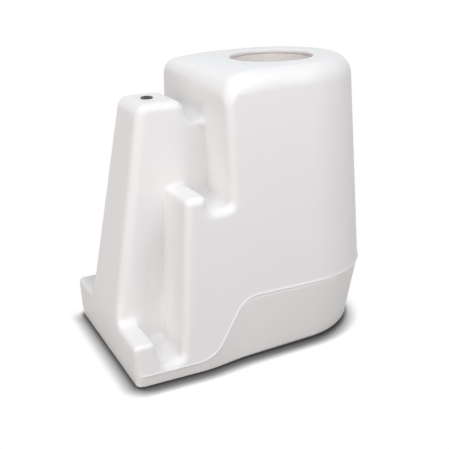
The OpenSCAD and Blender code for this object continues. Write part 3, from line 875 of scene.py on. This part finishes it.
@dataclass(frozen=True)
class FillFitting:
    """The collar in the tower's top and the screw cap with its folding handle and vent, in millimetres."""

    form: TankForm
    collar_low: float
    cap_low: float
    cap_high: float
    hub_high: float
    handle_mid: float
    handle_r: float
    bar_half: Span = (3.0, 2.5)
    bar_bend: float = 1.7
    bar_steps: int = 73
    eye_half: float = 3.0
    eye_r: Span = (2.05, 4.0)
    ledge_drop: float = 1.5
    neck_r: float = 45.0
    collar_wall: float = 5.0
    well_wall: float = 4.0
    spigot: float = 1.5
    flange: Span = (13.0, 5.5)
    skirt_gap: float = 0.05
    skirt_wall: float = 5.0
    rim_r: float = 50.5
    rim_gap: float = 0.8
    ring_r: tuple[float, float, float, float] = (46.2, 46.6, 47.6, 48.0)
    ring_depth: float = 0.7
    dish_drop: float = 6.0
    dish_wall: float = 3.0
    hub_r: float = 13.0
    hub_rise: float = 6.0
    vent_r: Span = (3.0, 7.0)
    vent_wall: float = 4.0
    scallop_count: float = 24.0
    scallop_depth: float = 1.1
    scallop_width: float = 3.0
    rest_size: Span = (8.0, 6.0)
    rest_gap: float = 0.05

    @classmethod
    def from_frame(cls, form: TankForm) -> FillFitting:
        """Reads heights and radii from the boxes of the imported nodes."""
        collar_low, _ = box_mm("fill_collar")
        cap_low, cap_high = box_mm("fill_cap")
        bail_low, bail_high = box_mm("cap_bail")
        _, vent_high = box_mm("vent_poppet")
        middle = 0.5 * (bail_low + bail_high)
        half = 0.5 * (bail_high - bail_low)
        return cls(form, collar_low[2], cap_low[2], cap_high[2], vent_high[2] + 1.0, middle[2],
                   half[0] - cls.bar_half[0])

    @property
    def ledge(self) -> float:
        """Height of the collar's ledge under the cap's rim."""
        return self.handle_mid - self.ledge_drop

    def collar(self) -> bpy.types.Object:
        """Makes the collar: spigot, flange, well wall, ledge and neck."""
        r, neck, low = self.form.fill_r, self.neck_r, self.collar_low
        top = self.form.tower_h - self.form.wall - self.skirt_gap
        spigot, spigot_low = r + self.spigot, top - self.spigot
        flange, flange_low = r + self.flange[0], top - self.flange[1]
        well, neck_out = r + self.well_wall, neck + self.collar_wall
        under = self.ledge - self.well_wall
        section = Outline((
            (r, top, 0.6), (spigot, top, 0.4), (spigot, spigot_low, 0.1), (flange, spigot_low, 0.8),
            (flange, flange_low, 0.8), (well, flange_low, 2.0), (well, under, 1.5), (neck_out, under, 2.0),
            (neck_out, low, 0.8), (neck, low, 0.8), (neck, self.ledge, 0.8), (r, self.ledge, 1.2),
        ))
        mesh = Turned(section, (self.form.fill_x, 0.0), 144).mesh()
        return make_object("collar_skin", mesh, FINE_WELD)

    def scallops(self, angle: Array, radius: Array, height: Array) -> Array:
        """Moves the rim's inner edge out in shallow scallops that fade below the rim."""
        past = (radius - self.neck_r + self.well_wall) / self.scallop_width
        near = np.exp(-(past**2)) * smooth_step(self.ledge, self.cap_high, height)
        return self.scallop_depth * near * np.maximum(np.cos(self.scallop_count * angle), 0.0) ** 2

    def cap(self) -> bpy.types.Object:
        """Makes the cap: vented hub, dished floor, scalloped rim with a ring groove, skirt, handle rest."""
        low, top, hub, hub_r = self.cap_low, self.cap_high, self.hub_high, self.hub_r
        skirt = self.neck_r - self.skirt_gap
        inner = skirt - self.skirt_wall
        dish = self.ledge - self.dish_drop
        dish_low = dish - self.dish_wall
        rim, rim_low = self.rim_r, self.ledge + self.rim_gap
        vent, guide = self.vent_r
        vent_low, guide_low = hub - self.vent_wall, low + self.hub_rise
        ring, ring_low = self.ring_r, top - self.ring_depth
        section = Outline((
            (vent, vent_low, 0.1), (vent, hub, 0.5), (hub_r, hub, 1.8), (hub_r, dish, 2.0),
            (inner, dish, 3.0), (inner, top, 1.6), (ring[0], top, 0.3), (ring[1], ring_low, 0.2),
            (ring[2], ring_low, 0.2), (ring[3], top, 0.3), (rim, top, 1.4), (rim, rim_low, 0.6),
            (skirt, rim_low, 0.3), (skirt, low, 0.9), (inner, low, 0.9), (inner, dish_low, 1.5),
            (hub_r, dish_low, 1.5), (hub_r, guide_low, 0.8), (guide, guide_low, 0.5), (guide, vent_low, 0.3),
        ), 5)
        turned = Turned(section, (self.form.fill_x, 0.0), 240, 8.0, self.scallops)
        heights = (dish - 0.5 * self.dish_wall, self.handle_mid - self.bar_half[1] - self.rest_gap)
        rest = Block((self.form.fill_x, -self.handle_r), self.rest_size, heights, 0.8)
        return make_object("cap_skin", together(turned.mesh(), rest.mesh()), FINE_WELD)

    def handle(self) -> bpy.types.Object:
        """Makes the handle: a half ring of rounded section between two eyes that turn on the pins."""
        section = Outline.box(self.bar_half, self.bar_bend, 6).points()
        angle = np.linspace(np.pi, TURN, self.bar_steps)
        height = np.full(self.bar_steps, self.handle_mid)
        bar = wire(angle, self.handle_r, height, section, (self.form.fill_x, 0.0))
        (bore, out), half = self.eye_r, self.eye_half
        eye = Outline(((bore, -half, 0.4), (out, -half, 0.7), (out, half, 0.7), (bore, half, 0.4)), 5)
        points, quads = Turned(eye, (0.0, 0.0), 40).mesh()
        turned = points[:, [2, 0, 1]]
        eyes = [
            (turned + np.array([self.form.fill_x + side, 0.0, self.handle_mid]), quads)
            for side in (-self.handle_r, self.handle_r)
        ]
        return make_object("handle_skin", together(bar, *eyes), FINE_WELD)


@dataclass(frozen=True)
class OutletPort:
    """The black threaded port in the column's top, in millimetres."""

    form: TankForm
    low: float
    high: float
    flange: float
    core_r: float = 4.283
    pitch: float = 0.907
    tooth: float = 0.5
    thread_span: Span = (0.7, 11.5)
    thread_end: float = 12.0
    sink: float = 0.6
    flange_r: float = 7.2
    shank_r: float = 6.0
    bore_r: float = 4.0
    near: float = 0.02

    @classmethod
    def from_frame(cls, form: TankForm) -> OutletPort:
        """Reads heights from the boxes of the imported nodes."""
        bush_low, bush_high = box_mm("outlet_bush")
        _, washer_high = box_mm("outlet_washer")
        return cls(form, bush_low[2], bush_high[2], washer_high[2])

    def thread(self, angle: Array, radius: Array, height: Array) -> Array:
        """Cuts the thread: a triangle wave that climbs one pitch in each turn, on the bore's wall alone."""
        phase = (height / self.pitch - angle / TURN) % 1.0
        wave = self.tooth * np.abs(2.0 * phase - 1.0)
        bore = np.abs(radius - self.core_r) < self.near
        start, end = self.thread_span
        inside = (height < self.high - start) & (height > self.high - end)
        return np.where(bore & inside, wave, 0.0)

    def build(self) -> bpy.types.Object:
        """Makes the port: a low rounded flange, a countersunk threaded bore and a shank with a hose seat."""
        core, low, top = self.core_r, self.low, self.high
        end = top - self.thread_end
        section = Outline((
            (core, top - self.sink, 0.05), (core + self.sink, top, 0.15), (self.flange_r, top, 0.45),
            (self.flange_r, self.flange, 0.1), (self.shank_r, self.flange, 0.1), (self.shank_r, low, 0.6),
            (self.bore_r, low, 0.3), (self.bore_r, end, 0.1), (core, end, 0.1),
        ), 4)
        mesh = Turned(section, (self.form.port_x, 0.0), 72, 0.15, self.thread).mesh()
        return make_object("port_skin", mesh, FINE_WELD)


@dataclass(frozen=True)
class Spring:
    """A coil spring on an upright axis that is pressed together between two bodies, in millimetres."""

    node: str
    moving: Body
    fixed: Body
    turns: float
    top_moves: bool
    thickness: float = 0.9
    turn_steps: int = 24
    wire_steps: int = 10

    def build(self) -> bpy.types.Object:
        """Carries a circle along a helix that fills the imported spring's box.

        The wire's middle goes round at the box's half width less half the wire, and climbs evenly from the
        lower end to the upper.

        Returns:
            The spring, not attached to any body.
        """
        low, high = box_mm(self.node)
        half = 0.5 * self.thickness
        middle = 0.5 * (low + high)
        along = np.linspace(0.0, 1.0, round(self.turn_steps * self.turns) + 1)
        height = low[2] + half + along * (high[2] - low[2] - self.thickness)
        ring = np.linspace(0.0, TURN, self.wire_steps, endpoint=False)
        section = half * np.stack([np.cos(ring), np.sin(ring)], 1)
        radius = 0.5 * (high[0] - low[0]) - half
        mesh = wire(TURN * self.turns * along, radius, height, section, (middle[0], middle[1]))
        made = make_object(self.node + "_skin", mesh, FINE_WELD)
        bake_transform(made)
        return made


class Tree:
    """Adds and links shader nodes in one node tree."""

    def __init__(self, tree: bpy.types.NodeTree) -> None:
        """Keeps the tree and starts it empty."""
        self.tree = tree
        tree.nodes.clear()

    def add(self, kind: str, inputs: dict | None = None, **settings) -> bpy.types.Node:
        """Adds a shader node, sets its properties and its inputs, where an input may be another socket."""
        node = self.tree.nodes.new("ShaderNode" + kind)
        for key, value in settings.items():
            setattr(node, key, value)
        for key, value in (inputs or {}).items():
            if isinstance(value, Socket):
                self.link(value, node.inputs[key])
            else:
                node.inputs[key].default_value = value
        return node

    def link(self, source: Socket, target: Socket) -> None:
        """Joins two sockets."""
        self.tree.links.new(source, target)

    def math(
        self, operation: str, first: float | Socket, second: float | Socket, clamp: bool = False
    ) -> Socket:
        """Gives the result of an operation on two numbers."""
        return self.add("Math", {0: first, 1: second}, operation=operation, use_clamp=clamp).outputs[0]

    def noise(self, place: Socket, scale: float | Socket, detail: float, roughness: float = 0.5) -> Socket:
        """Gives a noise of a scale, between 0 and 1."""
        inputs = {"Vector": place, "Scale": scale, "Detail": detail, "Roughness": roughness}
        return self.add("TexNoise", inputs).outputs[0]

    def mapped(
        self, value: Socket, source: Span = (0.0, 1.0), target: Span = (0.0, 1.0), way: str = "LINEAR"
    ) -> Socket:
        """Maps a number from one range to another."""
        limits = dict(zip(("From Min", "From Max", "To Min", "To Max"), source + target))
        return self.add("MapRange", {"Value": value, **limits}, interpolation_type=way).outputs["Result"]

    def mixed(self, share: Socket, first: Colour | Socket, second: Colour) -> Socket:
        """Mixes two colours."""
        if not isinstance(first, Socket):
            first = (*first, 1.0)
        return self.add("Mix", {0: share, 6: first, 7: (*second, 1.0)}, data_type="RGBA").outputs[2]


def start_group(
    name: str, inputs: dict[str, float], outputs: tuple[str, ...]
) -> tuple[Tree, bpy.types.NodeInputs, bpy.types.NodeOutputs]:
    """Starts a node group whose first input is a place and whose other sockets are numbers.

    Args:
        name: Name of the group.
        inputs: Name and usual value of each number that it takes.
        outputs: Name of each number that it gives.

    Returns:
        The tree, the sockets that hold its inputs and the sockets that take its outputs.
    """
    group = bpy.data.node_groups.new(name, "ShaderNodeTree")
    group.interface.new_socket("Place", in_out="INPUT", socket_type="NodeSocketVector")
    for key, value in inputs.items():
        socket = group.interface.new_socket(key, in_out="INPUT", socket_type="NodeSocketFloat")
        socket.default_value = value
    for key in outputs:
        group.interface.new_socket(key, in_out="OUTPUT", socket_type="NodeSocketFloat")
    tree = Tree(group)
    return tree, group.nodes.new("NodeGroupInput").outputs, group.nodes.new("NodeGroupOutput").inputs


def moulded_grain() -> bpy.types.NodeTree:
    """Group: the skin of a moulding. Gives soft clouds, a fine orange-peel height and sparse rubbed marks."""
    inputs = {"Cloud Scale": 14.0, "Grain Scale": 900.0}
    tree, given, result = start_group("moulded_grain", inputs, ("Cloud", "Height", "Rub"))
    place = given["Place"]
    cloud = tree.noise(place, given["Cloud Scale"], 3.0, 0.55)
    fine = tree.noise(place, given["Grain Scale"], 2.0)
    wide = tree.noise(place, 55.0, 1.0)
    long = tree.add("Mapping", {"Vector": place, "Scale": (9.0, 9.0, 60.0)})
    streak = tree.noise(long.outputs["Vector"], 4.0, 4.0)
    tree.link(cloud, result["Cloud"])
    tree.link(tree.math("MULTIPLY", fine, wide), result["Height"])
    tree.link(tree.mapped(streak, (0.62, 0.78), way="SMOOTHSTEP"), result["Rub"])
    return tree.tree


def painted_well_shade() -> bpy.types.NodeTree:
    """Group: mask of the painted shade in the well under the fill hole. Gives 1 within its radius of an
    upright axis and above its floor.

    The edge fades over a few millimetres of radius, so the hole's rounded lip goes from one to the other.
    """
    inputs = {"Axis X": 0.065, "Radius": 0.0514, "Fade": 0.0016, "Floor": 0.29}
    tree, given, result = start_group("painted_well_shade", inputs, ("Inside",))
    parts = tree.add("SeparateXYZ", {0: given["Place"]}).outputs
    across = tree.math("SUBTRACT", parts["X"], given["Axis X"])
    flat = tree.add("CombineXYZ", {0: across, 1: parts["Y"]}).outputs[0]
    away = tree.add("VectorMath", {0: flat}, operation="LENGTH").outputs["Value"]
    share = tree.math("DIVIDE", tree.math("SUBTRACT", away, given["Radius"]), given["Fade"])
    within = tree.math("SUBTRACT", 1.0, share, clamp=True)
    above = tree.math("GREATER_THAN", parts["Z"], given["Floor"])
    tree.link(tree.math("MULTIPLY", within, above), result["Inside"])
    return tree.tree


@dataclass(frozen=True)
class Finish:
    """One surface finish, with painted shade in the fill well if it has a colour for it."""

    name: str
    colour: Colour
    shade: Colour
    roughness: Span
    metallic: float = 0.0
    relief: float = 0.05
    relief_depth: float = 0.0006
    cloud_scale: float = 14.0
    grain_scale: float = 900.0
    specular: float = 0.4
    # Colour of the painted shade on the wall inside the fill hole, standing in for the dim open tank below
    # it.
    well: Colour | None = None

    def material(self, grain: bpy.types.NodeTree, hole: bpy.types.NodeTree) -> bpy.types.Material:
        """Makes the material: clouds vary the colour, rubbed marks the roughness, the grain the relief.

        Args:
            grain: Group for the skin of a moulding.
            hole: Group for the mask of the painted shade in the fill well, used where the finish has a colour
                for it.

        Returns:
            The material.
        """
        made = bpy.data.materials.new(self.name)
        made.use_nodes = True
        tree = Tree(made.node_tree)
        place = tree.add("TexCoord").outputs["Object"]
        inputs = {"Place": place, "Cloud Scale": self.cloud_scale, "Grain Scale": self.grain_scale}
        skin = tree.add("Group", inputs, node_tree=grain).outputs
        colour = tree.mixed(skin["Cloud"], self.colour, self.shade)
        # Painted shade: the well colour darkens the wall inside the fill hole, where little light comes back.
        if self.well is not None:
            inside = tree.add("Group", {"Place": place}, node_tree=hole).outputs["Inside"]
            colour = tree.mixed(inside, colour, self.well)
        relief = {"Height": skin["Height"], "Strength": self.relief, "Distance": self.relief_depth}
        shader = tree.add("BsdfPrincipled", {
            "Base Color": colour,
            "Roughness": tree.mapped(skin["Rub"], target=self.roughness),
            "Normal": tree.add("Bump", relief).outputs["Normal"],
            "Metallic": self.metallic,
            "Specular IOR Level": self.specular,
        })
        tree.add("OutputMaterial", {"Surface": shader.outputs["BSDF"]})
        return made


FINISHES: dict[str, Finish] = {
    # The white shell's well colour is painted shade inside the fill hole.
    "white_shell": Finish("white_moulding", (0.818, 0.801, 0.79), (0.793, 0.773, 0.76), (0.42, 0.55),
                          well=(0.62, 0.565, 0.54)),
    "white_cap": Finish("cap_moulding", (0.84, 0.84, 0.83), (0.8, 0.8, 0.79), (0.34, 0.46)),
    "seal_rubber": Finish("joint_seal", (0.12, 0.12, 0.12), (0.08, 0.08, 0.08), (0.7, 0.85)),
    "black_rubber": Finish("black_rubber", (0.018, 0.018, 0.018), (0.03, 0.03, 0.03), (0.62, 0.8),
                           relief=0.12),
    "black_plastic": Finish("black_fitting", (0.013, 0.013, 0.014), (0.022, 0.022, 0.023), (0.3, 0.5)),
    "grey_plastic": Finish("grey_fitting", (0.2, 0.205, 0.21), (0.16, 0.165, 0.17), (0.35, 0.5)),
    "natural_plastic": Finish("natural_plastic", (0.72, 0.72, 0.66), (0.66, 0.66, 0.6), (0.3, 0.45)),
    "steel": Finish("brushed_steel", (0.62, 0.62, 0.63), (0.54, 0.54, 0.55), (0.24, 0.4), metallic=1.0,
                    cloud_scale=120.0),
}


@dataclass(frozen=True)
class PhotoCamera:
    """The view of the photo: where it looks, from which side, how far off and how it is framed."""

    target: tuple[float, float, float] = (-34.089, 0.0, 137.561)
    azimuth: float = math.radians(-23.563)
    elevation: float = math.radians(20.107)
    roll: float = math.radians(-2.198)
    distance: float = 1014.82
    focal: float = 789.42
    centre: Span = (204.45, 226.75)
    frame: float = 449.0
    sensor: float = 36.0
    clip: Span = (0.01, 50.0)

    def build(self) -> None:
        """Makes the camera: it stands back from the target against its direction of view, and is rolled."""
        a, e = self.azimuth, self.elevation
        forward = Vector((-math.sin(a) * math.cos(e), math.cos(a) * math.cos(e), -math.sin(e)))
        right = forward.cross(Vector((0.0, 0.0, 1.0))).normalized()
        up = right.cross(forward)
        across = right * math.cos(self.roll) + up * math.sin(self.roll)
        upright = up * math.cos(self.roll) - right * math.sin(self.roll)
        place = (Vector(self.target) - forward * self.distance) * MM
        lens = bpy.data.cameras.new("photo_camera")
        lens.sensor_width = self.sensor
        lens.lens = self.focal / self.frame * self.sensor
        lens.shift_x = (0.5 * self.frame - self.centre[0]) / self.frame
        lens.shift_y = (self.centre[1] - 0.5 * self.frame) / self.frame
        lens.clip_start, lens.clip_end = self.clip
        made = bpy.data.objects.new("photo_camera", lens)
        turn = Matrix((across, upright, -forward)).transposed().to_4x4()
        made.matrix_world = Matrix.Translation(place) @ turn
        bpy.context.scene.collection.objects.link(made)
        bpy.context.scene.camera = made


@dataclass(frozen=True)
class Lamp:
    """A square soft lamp aimed at the object. Its side, counted from the front, and height are in degrees."""

    name: str
    side: float
    height: float
    power: float
    colour: Colour
    size: float = 0.9
    distance: float = 2.2
    aim: tuple[float, float, float] = (0.0, 0.0, 0.15)

    def build(self) -> None:
        """Makes the lamp on a ball round the aim and turns it to the aim."""
        side = math.radians(self.side)
        height = math.radians(self.height)
        level = math.cos(height)
        away = Vector((level * math.sin(side), -level * math.cos(side), math.sin(height)))
        data = bpy.data.lights.new(self.name, "AREA")
        data.shape = "SQUARE"
        data.size = self.size
        data.energy = self.power
        data.color = self.colour
        made = bpy.data.objects.new(self.name, data)
        made.location = Vector(self.aim) + away * self.distance
        made.rotation_euler = (-away).to_track_quat("-Z", "Y").to_euler()
        bpy.context.scene.collection.objects.link(made)


@dataclass(frozen=True)
class Shadow:
    """A soft dark edge on the floor: how far it reaches, and the openness and tone at both of its ends."""

    reach: float
    openness: Span
    darkest: float
    facing: Colour | None = None

    def tone(self, tree: Tree) -> Socket:
        """Gives the floor's tone: 1 in the open, the darkest where the object closes it in."""
        inputs = {"Distance": self.reach}
        if self.facing is not None:
            inputs["Normal"] = tree.add("CombineXYZ", dict(enumerate(self.facing))).outputs[0]
        openness = tree.add("AmbientOcclusion", inputs, samples=16).outputs["AO"]
        return tree.mapped(openness, self.openness, (self.darkest, 1.0))


@dataclass(frozen=True)
class Studio:
    """White floor, white surroundings and soft lamps."""

    ambient: float = 0.02
    floor_colour: Colour = (0.35, 0.335, 0.325)
    floor_rings: tuple[float, ...] = (0.02, 0.5, 2.0, 9.0)
    floor_sides: int = 64
    cast: Shadow = Shadow(0.022, (0.55, 0.97), 0.15, (0.45, 0.85, 0.28))
    touch: Shadow = Shadow(0.008, (0.4, 0.96), 0.3)
    lamps: tuple[Lamp, ...] = (
        Lamp("low_left_lamp", -80.0, 12.0, 9.8, (1.05, 0.98, 0.955)),
        Lamp("low_front_lamp", -35.0, 12.0, 4.2, (1.03, 0.985, 0.965)),
        Lamp("low_right_lamp", 35.0, 12.0, 5.1, (1.06, 0.97, 0.925)),
        Lamp("left_lamp", -95.0, 35.0, 5.0, (1.03, 0.985, 0.97)),
        Lamp("left_front_lamp", -35.0, 35.0, 12.4, (0.97, 1.0, 1.03)),
        Lamp("front_lamp", 0.0, 35.0, 10.6, (0.96, 1.0, 1.04)),
        Lamp("right_front_lamp", 35.0, 35.0, 5.7, (1.04, 0.98, 0.95)),
        Lamp("left_high_lamp", -95.0, 60.0, 9.2, (0.95, 1.0, 1.04)),
        Lamp("right_high_lamp", 35.0, 60.0, 10.0, (0.9, 1.0, 1.09)),
        Lamp("back_high_lamp", 180.0, 60.0, 7.2, (0.95, 1.0, 1.05)),
    )

    @staticmethod
    def seen(tree: Tree) -> Socket:
        """Gives 1 for rays from the camera or off metal and glass, else 0."""
        path = tree.add("LightPath").outputs
        first = tree.math("MAXIMUM", path["Is Camera Ray"], path["Is Glossy Ray"])
        return tree.math("MAXIMUM", first, path["Is Transmission Ray"])

    def floor(self) -> None:
        """Makes the floor: white to the eye, darker where the object stands close over it."""
        ring = np.linspace(0.0, TURN, self.floor_sides, endpoint=False)
        radius = np.array(self.floor_rings)[:, None] / MM
        across = radius * np.cos(ring)
        points, quads = grid_mesh(np.stack([across, radius * np.sin(ring), np.zeros_like(across)], 2), False)
        floor = make_object("floor", (points, quads[:, ::-1]))
        made = bpy.data.materials.new("studio_floor")
        made.use_nodes = True
        tree = Tree(made.node_tree)
        tone = tree.math("MULTIPLY", self.cast.tone(tree), self.touch.tone(tree))
        glow = tree.add("Emission", {"Color": WHITE, "Strength": tone})
        lit = tree.add("BsdfDiffuse", {"Color": (*self.floor_colour, 1.0)})
        mix = tree.add("MixShader", {0: self.seen(tree), 1: lit.outputs[0], 2: glow.outputs[0]})
        tree.add("OutputMaterial", {"Surface": mix.outputs[0]})
        floor.data.materials.append(made)

    def world(self) -> None:
        """Makes the surroundings: white to the eye, a plain soft light to the object."""
        made = bpy.data.worlds.new("studio")
        made.use_nodes = True
        bpy.context.scene.world = made
        tree = Tree(made.node_tree)
        level = tree.mapped(self.seen(tree), target=(self.ambient, 1.0))
        back = tree.add("Background", {"Color": WHITE, "Strength": level})
        tree.add("OutputWorld", {"Surface": back.outputs[0]})

    def build(self) -> None:
        """Makes floor, surroundings and lamps."""
        self.floor()
        self.world()
        for lamp in self.lamps:
            lamp.build()
        bpy.context.scene.view_settings.view_transform = "Standard"


def dress(made: bpy.types.Object, material: bpy.types.Material) -> None:
    """Gives an object one material."""
    made.data.materials.clear()
    made.data.materials.append(material)


def main() -> None:
    """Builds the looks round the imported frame."""
    logging.basicConfig(level=logging.INFO)
    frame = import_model()
    grain = moulded_grain()
    # Mask of the painted shade inside the fill hole.
    hole = painted_well_shade()
    materials = {slot: finish.material(grain, hole) for slot, finish in FINISHES.items()}
    slots = {part["node"]: part["material_slot"] for part in frame["record"]["subparts"]}
    for node, slot in slots.items():
        dress(frame["nodes"][node], materials[slot])
    form = TankForm.from_frame()
    pan = BasePan(form)
    fitting = FillFitting.from_frame(form)
    rigid = (
        (UpperShell(form).build(), "upper_shell", Body.TANK), (pan.build(), "base_pan", Body.TANK),
        (pan.seal(), "seam_seal", Body.TANK), (fitting.collar(), "fill_collar", Body.TANK),
        (fitting.cap(), "fill_cap", Body.CAP), (fitting.handle(), "cap_bail", Body.HANDLE),
        (OutletPort.from_frame(form).build(), "outlet_bush", Body.TANK),
    )
    springs = (
        Spring("vent_spring", Body.VENT, Body.CAP, 4.0, True),
        Spring("foot_valve_spring", Body.FOOT_VALVE, Body.TANK, 3.0, False),
    )
    pieces = {}
    for made, node, body in rigid:
        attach(made, body.value)
        pieces[node] = made
    for spring in springs:
        pieces[spring.node] = spring.build()
    for node, made in pieces.items():
        dress(made, materials[slots[node]])
        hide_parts(node)
        LOG.info("%s in place of %s: %d faces", made.name, node, len(made.data.polygons))
    Studio().build()
    PhotoCamera().build()


if __name__ == "__main__":
    main()
